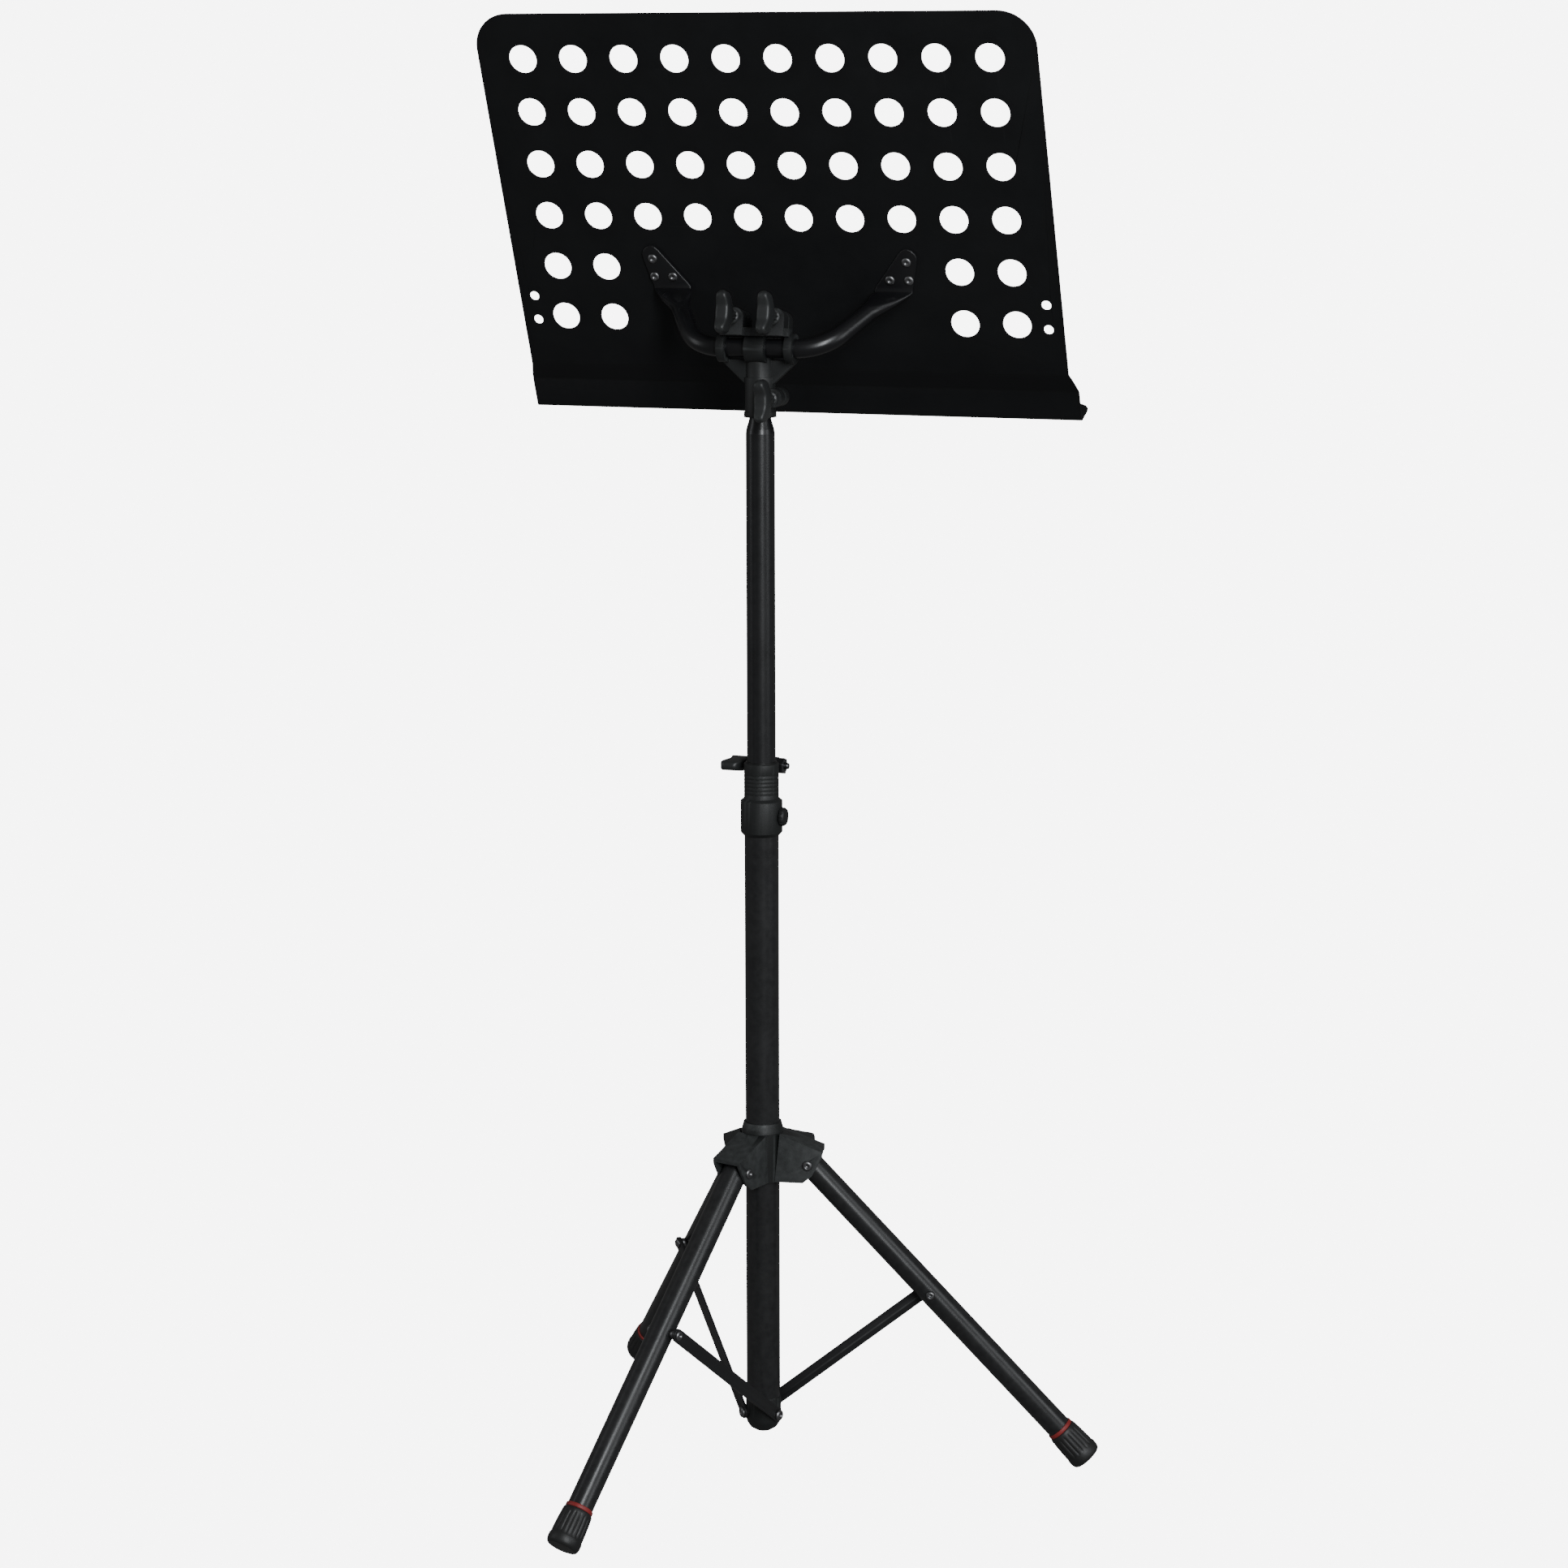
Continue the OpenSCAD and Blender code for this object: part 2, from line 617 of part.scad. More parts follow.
// One bend of the tube and the straight after it; the bend laps a little into both straights
module yoke_half() {
    lap_turn = 0.55;
    rotate([-yoke_rise, 0, 0]) translate([bend_x, -bend_r, 0]) rotate([0, 0, 90 - bend_a - lap_turn])
        rotate_extrude(angle = bend_a + 2*lap_turn) translate([bend_r, 0]) circle(r = tube_r + 0.04);
    yoke_leg() cylinder(r = tube_r, h = yoke_round);
}

// Where the tube widens as it is pressed flat towards the ear
module yoke_taper() {
    spread = 15;                            // half width of the flattened tube
    long = flat_len + 14;                   // runs on past the panel, then is cut off inside the ear
    lap = 2;                                // starts inside the round tube
    slope = (spread - tube_r)/flat_len;
    half_t = ear_t/2;
    difference() {
        yoke_leg() translate([0, 0, yoke_round]) intersection() {
            translate([0, 0, -lap]) cylinder(r1 = tube_r - slope*lap, r2 = tube_r + slope*long, h = long + lap);
            rotate([90, 0, 0]) translate([0, 0, -30]) linear_extrude(60)
                polygon([[-tube_r - 0.3, -lap - 1], [tube_r + 0.3, -lap - 1], [tube_r + 0.3, 0],
                         [half_t, flat_len - 6], [half_t, long], [-half_t, long], [-half_t, flat_len - 6],
                         [-tube_r - 0.3, 0]]);
        }
        translate([0, panel_y + 0.6 - 60, ear_z - 60]) cube([250, 60, 120]);
    }
}

module yoke_ear() {
    translate([0, panel_y + ear_t, 0]) rotate([90, 0, 0]) linear_extrude(ear_t) difference() {
        union() {
            polygon([[ear_x - 17, ear_z - 1], [ear_x + 17, ear_z - 1], [ear_x + 24, ear_z + 32],
                     [ear_x + 8.3, ear_z + 36], [ear_x - 18, ear_z + 4]]);
            translate([ear_x + 15, ear_z + 31.5]) circle(r = 9);
        }
        for (p = yoke_rivet_at) translate(p) circle(r = rivet_r);
    }
}

module desk_yoke() {
    color([0.17, 0.17, 0.18]) desk_frame() {
        rotate([-yoke_rise, 0, 0]) translate([-bend_x, 0, 0]) rotate([0, 90, 0])
            cylinder(r = tube_r, h = 2*bend_x);
        for (s = [0, 1]) mirror([s, 0, 0]) {
            yoke_half();
            yoke_taper();
            yoke_ear();
        }
    }
}

// Tubular rivets with hollow heads, closed on the musician's side
module yoke_rivets() {
    color([0.42, 0.43, 0.44]) desk_frame() for (s = [-1, 1], p = yoke_rivet_at)
        translate([s*p[0], panel_y - sheet, p[1]]) rotate([-90, 0, 0]) difference() {
            union() {
                cylinder(r = rivet_r, h = sheet + ear_t);
                translate([0, 0, sheet + ear_t]) rivet_head(4.3, 1.6);
                mirror([0, 0, 1]) rivet_head(4.3, 1.4);
            }
            translate([0, 0, sheet + ear_t - 1]) cylinder(r = 1.5, h = 5);
        }
}

lower_tube();
bottom_cap();
cap_pivots();
height_collar();
collar_bush();
collar_screw();
height_nut();
height_screw();
height_knob();
hub_casting();
leg_pivots();
hub_screw();
hub_knob();
leg_tube(1);  // leg_1
leg_tube(2);  // leg_2
leg_tube(3);  // leg_3
foot_ring(1);  // foot_ring_1
foot_ring(2);  // foot_ring_2
foot_ring(3);  // foot_ring_3
foot(1);  // foot_1
foot(2);  // foot_2
foot(3);  // foot_3
leg_rivet(1);  // leg_rivet_1
leg_rivet(2);  // leg_rivet_2
leg_rivet(3);  // leg_rivet_3
strut(1);  // strut_1
strut(2);  // strut_2
strut(3);  // strut_3
strut_rivet(1);  // strut_rivet_1
strut_rivet(2);  // strut_rivet_2
strut_rivet(3);  // strut_rivet_3
upper_tube();
tube_guide();
head_casting();
tilt_jaw();
tilt_nut(1);  // tilt_nut_1
tilt_nut(2);  // tilt_nut_2
tilt_screw(1);  // tilt_screw_1
tilt_screw(2);  // tilt_screw_2
tilt_knob(1);  // tilt_knob_1
tilt_knob(2);  // tilt_knob_2
neck_nut();
neck_screw();
neck_knob();
desk_panel();
desk_yoke();
yoke_rivets();
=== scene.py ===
import json
import math

import bmesh
import bpy
from mathutils import Matrix, Vector


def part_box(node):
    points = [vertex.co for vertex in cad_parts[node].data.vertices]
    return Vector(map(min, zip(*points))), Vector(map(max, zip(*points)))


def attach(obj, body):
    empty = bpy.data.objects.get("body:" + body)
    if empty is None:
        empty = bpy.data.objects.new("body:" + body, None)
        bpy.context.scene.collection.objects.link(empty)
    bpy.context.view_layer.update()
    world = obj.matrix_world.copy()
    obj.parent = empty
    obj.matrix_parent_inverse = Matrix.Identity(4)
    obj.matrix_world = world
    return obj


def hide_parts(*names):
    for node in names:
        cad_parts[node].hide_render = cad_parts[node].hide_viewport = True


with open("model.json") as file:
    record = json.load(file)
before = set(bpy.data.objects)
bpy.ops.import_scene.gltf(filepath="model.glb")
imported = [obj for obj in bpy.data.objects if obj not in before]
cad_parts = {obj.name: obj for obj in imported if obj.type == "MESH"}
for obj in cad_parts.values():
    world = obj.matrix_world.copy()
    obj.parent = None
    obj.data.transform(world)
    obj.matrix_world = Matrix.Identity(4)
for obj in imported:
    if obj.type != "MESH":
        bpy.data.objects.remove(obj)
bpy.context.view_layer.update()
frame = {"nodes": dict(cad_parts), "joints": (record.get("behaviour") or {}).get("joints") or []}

mm = 0.001
joints = {joint["name"]: joint for joint in frame["joints"]}
upright = Vector((0, 0, 1))


# ---- Camera ----
# Seen from behind and to the stand's left, a little above the collar, with a long lens.

camera_data = bpy.data.cameras.new("camera")
camera_data.sensor_width = 36
camera_data.lens = 87.35
camera_data.clip_end = 100
camera = bpy.data.objects.new("camera", camera_data)
camera.location = (-1.0886, 3.0646, 1.2280)
camera.rotation_euler = [math.radians(angle) for angle in (79.3211, 0.1257, -160.8132)]
bpy.context.scene.collection.objects.link(camera)
bpy.context.scene.camera = camera


# ---- Studio ----
# A floor and a surround of one and the same white, so that no line shows where they meet, and
# which the black enamel mirrors only dimly. One large soft light stands a little right of the
# camera and puts the broad streak on the tubes, with weak ones far to the right and to the left.

def steady_white(nodes, links, background):
    # The camera sees clear white; every other ray meets a much dimmer one.
    background.inputs["Color"].default_value = (1, 1, 1, 1)
    rays = nodes.new("ShaderNodeLightPath")
    dimmer = nodes.new("ShaderNodeMapRange")
    dimmer.inputs["To Min"].default_value = 0.13
    dimmer.inputs["To Max"].default_value = 7.0
    links.new(rays.outputs["Is Camera Ray"], dimmer.inputs["Value"])
    links.new(dimmer.outputs["Result"], background.inputs["Strength"])


room = bpy.data.worlds.new("room")
room.use_nodes = True
bpy.context.scene.world = room
steady_white(room.node_tree.nodes, room.node_tree.links, room.node_tree.nodes["Background"])

floor_white = bpy.data.materials.new("studio_floor")
floor_white.use_nodes = True
floor_nodes = floor_white.node_tree.nodes
floor_nodes.remove(floor_nodes["Principled BSDF"])
glow = floor_nodes.new("ShaderNodeEmission")
steady_white(floor_nodes, floor_white.node_tree.links, glow)
floor_white.node_tree.links.new(glow.outputs["Emission"], floor_nodes["Material Output"].inputs["Surface"])
floor_mesh = bpy.data.meshes.new("floor")
bm = bmesh.new()
bmesh.ops.create_circle(bm, cap_ends=True, segments=96, radius=30)
bm.to_mesh(floor_mesh)
bm.free()
floor = bpy.data.objects.new("floor", floor_mesh)
floor.data.materials.append(floor_white)
bpy.context.scene.collection.objects.link(floor)


def soft_light(name, place, size, power, aim):
    lamp = bpy.data.lights.new(name, "AREA")
    lamp.shape = "RECTANGLE"
    lamp.size, lamp.size_y = size
    lamp.energy = power
    lamp.color = (0.94, 0.97, 1)
    light = bpy.data.objects.new(name, lamp)
    light.location = place
    light.rotation_euler = (Vector(aim) - Vector(place)).to_track_quat("-Z", "Y").to_euler()
    bpy.context.scene.collection.objects.link(light)


soft_light("key", (-1.9, 2.8, 2.0), (0.7, 2.2), 100, (0, 0, 0.7))
soft_light("fill", (-3.4, 0.8, 1.4), (1.2, 2.0), 20, (0, 0, 0.6))
soft_light("edge", (2.9, 1.4, 1.6), (0.5, 2.0), 10, (0, 0, 0.6))


# ---- Bottom of the mast ----
# The lower mast is a seamed steel tube in satin black enamel, plugged at its foot by a moulded
# nylon cap whose three bosses carry the braces on rivets.

def edge_highlight_group():
    # Painted edge highlight: paler where the mask is high on outward corners, broken up by noise.
    group = bpy.data.node_groups.new("painted_edge_highlight", "ShaderNodeTree")
    group.interface.new_socket("Amount", in_out="INPUT", socket_type="NodeSocketFloat")
    group.interface.new_socket("Mask", in_out="OUTPUT", socket_type="NodeSocketFloat")
    node, link = group.nodes.new, group.links.new
    into, out = node("NodeGroupInput"), node("NodeGroupOutput")
    corner = node("ShaderNodeNewGeometry")
    sharpness = node("ShaderNodeMapRange")
    sharpness.inputs["From Min"].default_value = 0.53
    sharpness.inputs["From Max"].default_value = 0.62
    link(corner.outputs["Pointiness"], sharpness.inputs["Value"])
    place = node("ShaderNodeTexCoord")
    patches = node("ShaderNodeTexNoise")
    patches.inputs["Scale"].default_value = 180
    patches.inputs["Detail"].default_value = 4
    link(place.outputs["Object"], patches.inputs["Vector"])
    broken = node("ShaderNodeMath")
    broken.operation = "MULTIPLY"
    link(sharpness.outputs["Result"], broken.inputs[0])
    link(patches.outputs["Fac"], broken.inputs[1])
    scaled = node("ShaderNodeMath")
    scaled.operation = "MULTIPLY"
    link(broken.outputs["Value"], scaled.inputs[0])
    link(into.outputs["Amount"], scaled.inputs[1])
    link(scaled.outputs["Value"], out.inputs["Mask"])
    return group


def grain_group():
    # Fine surface texture: Height is the pebbling of paint or the skin of a moulding, Mottle a
    # broad drift that stands for handling and uneven gloss.
    group = bpy.data.node_groups.new("surface_grain", "ShaderNodeTree")
    group.interface.new_socket("Fineness", in_out="INPUT", socket_type="NodeSocketFloat")
    group.interface.new_socket("Height", in_out="OUTPUT", socket_type="NodeSocketFloat")
    group.interface.new_socket("Mottle", in_out="OUTPUT", socket_type="NodeSocketFloat")
    node, link = group.nodes.new, group.links.new
    into, out = node("NodeGroupInput"), node("NodeGroupOutput")
    place = node("ShaderNodeTexCoord")
    pebbles = node("ShaderNodeTexNoise")
    pebbles.inputs["Detail"].default_value = 3
    pebbles.inputs["Roughness"].default_value = 0.6
    link(place.outputs["Object"], pebbles.inputs["Vector"])
    link(into.outputs["Fineness"], pebbles.inputs["Scale"])
    link(pebbles.outputs["Fac"], out.inputs["Height"])
    drift = node("ShaderNodeTexNoise")
    drift.inputs["Scale"].default_value = 22
    drift.inputs["Detail"].default_value = 5
    drift.inputs["Roughness"].default_value = 0.65
    link(place.outputs["Object"], drift.inputs["Vector"])
    link(drift.outputs["Fac"], out.inputs["Mottle"])
    return group


edge_highlight = edge_highlight_group()
grain = grain_group()


def surface(name, dark, light, dull, fineness, depth, highlight_amount=0.0, highlight_colour=(0.2, 0.2, 0.2),
            metal=0.0, gloss=0.5):
    # One coating or moulding: colour drifts between dark and light, roughness over dull; outward edges take
    # a paler painted highlight.
    finish = bpy.data.materials.new(name)
    finish.use_nodes = True
    node, link = finish.node_tree.nodes.new, finish.node_tree.links.new
    shader = finish.node_tree.nodes["Principled BSDF"]
    shader.inputs["Metallic"].default_value = metal
    shader.inputs["Specular IOR Level"].default_value = gloss
    texture = node("ShaderNodeGroup")
    texture.node_tree = grain
    texture.inputs["Fineness"].default_value = fineness
    shade = node("ShaderNodeMix")
    shade.data_type = "RGBA"
    shade.inputs["A"].default_value = (*dark, 1)
    shade.inputs["B"].default_value = (*light, 1)
    link(texture.outputs["Mottle"], shade.inputs["Factor"])
    # Painted highlight: the outward edges are mixed towards a paler colour.
    edges = node("ShaderNodeGroup")
    edges.node_tree = edge_highlight
    edges.inputs["Amount"].default_value = highlight_amount
    highlighted = node("ShaderNodeMix")
    highlighted.data_type = "RGBA"
    highlighted.inputs["B"].default_value = (*highlight_colour, 1)
    link(edges.outputs["Mask"], highlighted.inputs["Factor"])
    link(shade.outputs["Result"], highlighted.inputs["A"])
    link(highlighted.outputs["Result"], shader.inputs["Base Color"])
    sheen = node("ShaderNodeMapRange")
    sheen.inputs["From Min"].default_value = 0.3
    sheen.inputs["From Max"].default_value = 0.7
    sheen.inputs["To Min"].default_value = dull[0]
    sheen.inputs["To Max"].default_value = dull[1]
    link(texture.outputs["Mottle"], sheen.inputs["Value"])
    link(sheen.outputs["Result"], shader.inputs["Roughness"])
    relief = node("ShaderNodeBump")
    relief.inputs["Strength"].default_value = 1
    relief.inputs["Distance"].default_value = depth
    link(texture.outputs["Height"], relief.inputs["Height"])
    link(relief.outputs["Normal"], shader.inputs["Normal"])
    return finish


# The paler edge amount and colour given to each finish paint a highlight on its outward edges.
tube_enamel = surface("tube_enamel", (0.006, 0.006, 0.0068), (0.009, 0.009, 0.0102), (0.26, 0.36),
                      900, 0.00004, highlight_amount=0.5, highlight_colour=(0.05, 0.05, 0.05))
moulded_nylon = surface("moulded_nylon", (0.008, 0.009, 0.009), (0.014, 0.015, 0.015), (0.44, 0.58),
                        1400, 0.00012, highlight_amount=0.8, highlight_colour=(0.07, 0.075, 0.075))
rivet_steel = surface("rivet_steel", (0.16, 0.16, 0.165), (0.27, 0.27, 0.275), (0.32, 0.46),
                      1200, 0.00003, metal=1.0)


def coat(node, finish):
    # A CAD node that keeps its shape takes a finish in every one of its material slots.
    for holder in frame["nodes"][node].material_slots:
        holder.material = finish


def made(bm, name, body, finish, nodes=(), round_off=0.0, steps=2):
    # Turns a finished bmesh into a piece; round_off is the radius left on its sharp edges.
    mesh = bpy.data.meshes.new(name)
    bm.to_mesh(mesh)
    bm.free()
    for face in mesh.polygons:
        face.use_smooth = True
    piece = bpy.data.objects.new(name, mesh)
    piece.data.materials.append(finish)
    bpy.context.scene.collection.objects.link(piece)
    if round_off:
        rounding = piece.modifiers.new("rounding", "BEVEL")
        rounding.width = round_off
        rounding.segments = steps
        rounding.limit_method = "ANGLE"
        rounding.angle_limit = math.radians(32)
        rounding.harden_normals = True
        rounding.use_clamp_overlap = True
    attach(piece, body)
    for node in nodes:
        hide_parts(node)
    return piece


def cad_copy(node):
    # A CAD node's shape with its loose triangles joined up and its flats made whole.
    bm = bmesh.new()
    bm.from_mesh(frame["nodes"][node].data)
    bmesh.ops.remove_doubles(bm, verts=bm.verts, dist=0.00001)
    bmesh.ops.dissolve_limit(bm, angle_limit=math.radians(0.4), verts=bm.verts, edges=bm.edges,
                             delimit={"NORMAL"})
    return bm


def turned(bm, profile, place, steps=32, closed=False):
    # Spins a profile of (radius, height) points about place's own Z axis.
    corners = [bm.verts.new((r, 0, z)) for r, z in profile]
    edges = [bm.edges.new(pair) for pair in zip(corners, corners[1:])]
    if closed:
        edges.append(bm.edges.new((corners[-1], corners[0])))
    before = set(bm.verts) - set(corners)
    bmesh.ops.spin(bm, geom=corners + edges, axis=(0, 0, 1), cent=(0, 0, 0), angle=2 * math.pi,
                   steps=steps, use_merge=True)
    new = [v for v in bm.verts if v not in before]
    bmesh.ops.remove_doubles(bm, verts=new, dist=0.000002)
    new = [v for v in bm.verts if v not in before]
    faces = list({face for v in new for face in v.link_faces})
    bmesh.ops.recalc_face_normals(bm, faces=faces)
    bmesh.ops.transform(bm, matrix=place, verts=new)
    return new


def aimed(place, axis, across=upright):
    # A frame at place whose Z runs along axis and whose X leans towards across.
    z = Vector(axis).normalized()
    x = (Vector(across) - z * z.dot(Vector(across))).normalized()
    y = z.cross(x)
    turn = Matrix((x, y, z)).transposed().to_4x4()
    return Matrix.Translation(place) @ turn


def hollow_rivet(bm, place, head_r, head_h, shank_r, shank):
    # Tubular rivet: a domed head with a dimple in the middle, on a plain shank.
    turned(bm, [(0, head_h * 0.2), (head_r * 0.26, head_h * 0.22), (head_r * 0.36, head_h * 0.8),
                (head_r * 0.48, head_h), (head_r * 0.74, head_h * 0.9), (head_r * 0.93, head_h * 0.55),
                (head_r, head_h * 0.2), (head_r * 0.98, 0), (shank_r, 0), (shank_r, -shank),
                (0, -shank)], place, steps=28)


coat("lower_tube", tube_enamel)
made(cad_copy("bottom_cap"), "foot_plug", "mast", moulded_nylon, ["bottom_cap"],
     round_off=0.6 * mm)

cap_radius = 15.8 * mm
strut_thick = 3 * mm
pin_radius = 2.5 * mm
bm = bmesh.new()
for k in (1, 2, 3):
    brace = joints[f"brace_{k}_fold"]
    tangent = -Vector(brace["axis"])
    seat = Vector(brace["pos_m"])
    seat += tangent * (cap_radius - seat.dot(tangent) + strut_thick + 0.5 * mm)
    hollow_rivet(bm, aimed(seat, tangent), 5 * mm, 2.2 * mm, pin_radius, 3.5 * mm)
made(bm, "plug_rivets", "mast", rivet_steel, ["cap_pivots"])


# ---- Tripod hub ----
# One moulding slides on the mast and forks over the top of each leg; a riveted pin crosses each
# fork. A wing screw at the back locks the hub to the tube.

made(cad_copy("hub_casting"), "hub_body", "hub", moulded_nylon, ["hub_casting"],
     round_off=0.9 * mm, steps=3)

leg_radius = 11.2 * mm
fork_half = leg_radius + 3.4 * mm
bm = bmesh.new()
for k in (1, 2, 3):
    pivot = Vector(joints[f"leg_{k}_fold"]["pos_m"])
    tangent = Vector(joints[f"leg_{k}_fold"]["axis"])
    for side in (1, -1):
        hollow_rivet(bm, aimed(pivot + tangent * side * fork_half, tangent * side),
                     4.6 * mm, 2 * mm, 3 * mm, fork_half)
made(bm, "fork_pins", "hub", rivet_steel, ["leg_pivots"])

# The paler edge amount and colour here paint a highlight on the knobs' outward edges.
knob_nylon = surface("knob_nylon", (0.018, 0.019, 0.019), (0.030, 0.032, 0.032), (0.36, 0.48),
                     1600, 0.00008, highlight_amount=1.0, highlight_colour=(0.09, 0.095, 0.095))
zinc = surface("dark_zinc", (0.10, 0.10, 0.105), (0.19, 0.19, 0.20), (0.30, 0.44),
               1500, 0.00003, metal=1.0)


def threaded_rod(bm, place, length, radius=3 * mm, pitch=1 * mm):
    # Screw stem with cut ridges, its end chamfered.
    profile = [(0, 0), (radius * 0.8, 0)]
    for ridge in range(int(length / pitch)):
        profile.append((radius, (ridge + 0.5) * pitch))
        profile.append((radius * 0.86, (ridge + 1) * pitch))
    profile.append((radius * 0.8, length))
    profile.append((0, length))
    turned(bm, profile, place, steps=24)


def wing_knob(name, body, node, place):
    # Moulded wing knob standing on place's XY plane: a ribbed boss, then a grip along place's X
    # that is fullest in the middle, round at both ends and dished on its outer face.
    bm = bmesh.new()
    boss = [(0, 0.2), (6.3, 0), (7, 0.5), (7, 1.5), (6.3, 2.1), (5.2, 2.6), (5.2, 8), (5.2, 13), (4.8, 20),
            (0, 20)]
    for vert in turned(bm, [(radius * mm, height * mm) for radius, height in boss], Matrix(), steps=96):
        if math.hypot(vert.co.x, vert.co.y) > 5.1 * mm and 2.3 * mm < vert.co.z < 14 * mm:
            swell = 1 + 0.14 * max(0.0, math.cos(12 * math.atan2(vert.co.y, vert.co.x))) ** 2
            vert.co.x *= swell
            vert.co.y *= swell
    length, middle, tip = 18.2, 5.8, 4.2

    def eased(part):
        part = min(1.0, max(0.0, part))
        return part * part * (3 - 2 * part)

    def half_width(x):
        straight = length - tip
        if x < straight:
            return middle - (middle - tip) * (x / straight) ** 2
        return math.sqrt(max(0.0, tip ** 2 - (x - straight) ** 2))

    # Each ring's inset from the outline and its depth below the nearer face.
    rims = [(middle, 0), (2.8, 0), (1.6, 0.15), (0.8, 0.55), (0.25, 1.2), (0, 2.2)]
    last = None
    for outer, (inset, depth) in [(False, rim) for rim in rims] + [(True, rim) for rim in reversed(rims)]:
        ring = bmesh.ops.create_circle(bm, cap_ends=False, segments=72, radius=1)["verts"]
        for vert in ring:
            x = length * vert.co.x
            y = math.copysign(half_width(abs(x)), vert.co.y) * (1 - inset / middle)
            x *= 1 - inset / length
            inner_face = 10 + 2 * eased((abs(x) - 5) / 8) + 4 * eased((abs(x) - 12) / 8)
            outer_face = 25.5 + 4.5 * eased((abs(x) - 4) / 10) - 2.5 * eased((abs(x) - 14) / 5)
            level = outer_face - depth if outer else inner_face + depth
            vert.co = Vector((x, y, level)) * mm
        edges = list({edge for vert in ring for edge in vert.link_edges})
        if last:
            bmesh.ops.bridge_loops(bm, edges=last + edges)
        last = edges
    bmesh.ops.remove_doubles(bm, verts=bm.verts, dist=0.000004)
    bmesh.ops.recalc_face_normals(bm, faces=bm.faces)
    bmesh.ops.transform(bm, matrix=place, verts=bm.verts)
    return made(bm, name, body, knob_nylon, [node], round_off=0.2 * mm)


lock = joints["hub_knob_turn"]
lock_axis = Vector(lock["axis"])
lock_face = Vector(lock["pos_m"])
lock_face -= lock_axis * lock_face.dot(lock_axis)
hub_radius = 18.3 * mm
wing_knob("hub_wing", "hub_lock", "hub_knob",
          aimed(lock_face + lock_axis * (hub_radius + 10.3 * mm), lock_axis)
          @ Matrix.Rotation(math.radians(90), 4, "Z"))
bm = bmesh.new()
threaded_rod(bm, aimed(lock_face + lock_axis * 15.4 * mm, lock_axis), 27 * mm)
made(bm, "hub_lock_stem", "hub_lock", zinc, ["hub_screw"])


# ---- Legs ----
# Three enamelled steel tubes, each ending in a flared rubber ferrule with a red rubber band
# above it. The ferrules have worn flat where they stand.

leg_angle = math.radians(43)
leg_length = 365.5 * mm
foot_length = 34 * mm
band_length = 3.5 * mm
# The paler edge amounts and colours here paint a highlight on the rubber's outward edges.
rubber = surface("black_rubber", (0.012, 0.012, 0.012), (0.021, 0.021, 0.021), (0.40, 0.58),
                 1100, 0.00010, highlight_amount=0.7, highlight_colour=(0.05, 0.05, 0.05))
red_rubber = surface("red_rubber", (0.20, 0.016, 0.016), (0.33, 0.030, 0.028), (0.45, 0.6),
                     1300, 0.00008, highlight_amount=0.4, highlight_colour=(0.5, 0.12, 0.11))


def leg_line(k):
    # Pivot, outward direction, sideways direction and the direction down the leg.
    pivot = Vector(joints[f"leg_{k}_fold"]["pos_m"])
    sideways = Vector(joints[f"leg_{k}_fold"]["axis"]).normalized()
    outward = sideways.cross(upright)
    down = outward * math.sin(leg_angle) - upright * math.cos(leg_angle)
    return pivot, outward, sideways, down


for k in (1, 2, 3):
    coat(f"leg_{k}", tube_enamel)
    pivot, outward, sideways, down = leg_line(k)

    bm = bmesh.new()
    r = leg_radius
    turned(bm, [(r, 0), (r + 0.7 * mm, 0), (r + 1.05 * mm, 0.5 * mm), (r + 1.1 * mm, 1.2 * mm),
                (r + 1.1 * mm, 2.3 * mm), (r + 1.05 * mm, 3 * mm), (r + 0.7 * mm, band_length),
                (r, band_length)],
           aimed(pivot + down * (leg_length - foot_length - band_length), down, sideways),
           steps=56, closed=True)
    made(bm, f"red_band_{k}", f"leg_{k}", red_rubber, [f"foot_ring_{k}"])

    bm = bmesh.new()
    wide = r + 3.6 * mm
    cup = turned(bm, [(r - 0.4 * mm, 8 * mm), (r - 0.1 * mm, 0.4 * mm), (r + 0.5 * mm, 0),
                      (r + 1.3 * mm, 0.3 * mm), (r + 1.9 * mm, 1.5 * mm), (r + 2.05 * mm, 3.2 * mm),
                      (r + 2.2 * mm, 5.4 * mm), (r + 2.5 * mm, 9 * mm), (r + 2.75 * mm, 14 * mm),
                      (r + 2.95 * mm, 19 * mm), (r + 3 * mm, 22 * mm), (r + 3 * mm, 24.2 * mm),
                      (r + 3.3 * mm, 25 * mm), (wide, 26 * mm), (wide, 29.5 * mm),
                      (wide - 0.4 * mm, 31.5 * mm), (wide - 1.2 * mm, 33.2 * mm),
                      (wide - 2.4 * mm, 34 * mm), (0, 34 * mm)],
                 Matrix(), steps=108)
    for vert in cup:
        radius = math.hypot(vert.co.x, vert.co.y)
        if radius > r + 2.1 * mm and 5 * mm < vert.co.z < 22.5 * mm:
            around = math.atan2(vert.co.y, vert.co.x)
            press = 1 - 0.06 * max(0.0, math.cos(18 * around)) ** 2
            vert.co.x *= press
            vert.co.y *= press
    place = aimed(pivot + down * (leg_length - foot_length), down, sideways)
    bmesh.ops.transform(bm, matrix=place, verts=bm.verts)
    cut = bmesh.ops.bisect_plane(bm, geom=bm.verts[:] + bm.edges[:] + bm.faces[:], dist=0.000001,
                                 plane_co=(0, 0, 0.0), plane_no=(0, 0, -1), clear_outer=True)
    rim = [part for part in cut["geom_cut"] if isinstance(part, bmesh.types.BMEdge)]
    bmesh.ops.holes_fill(bm, edges=rim, sides=0)
    bmesh.ops.recalc_face_normals(bm, faces=bm.faces)
    made(bm, f"ferrule_{k}", f"leg_{k}", rubber, [f"foot_{k}"], round_off=0.3 * mm)
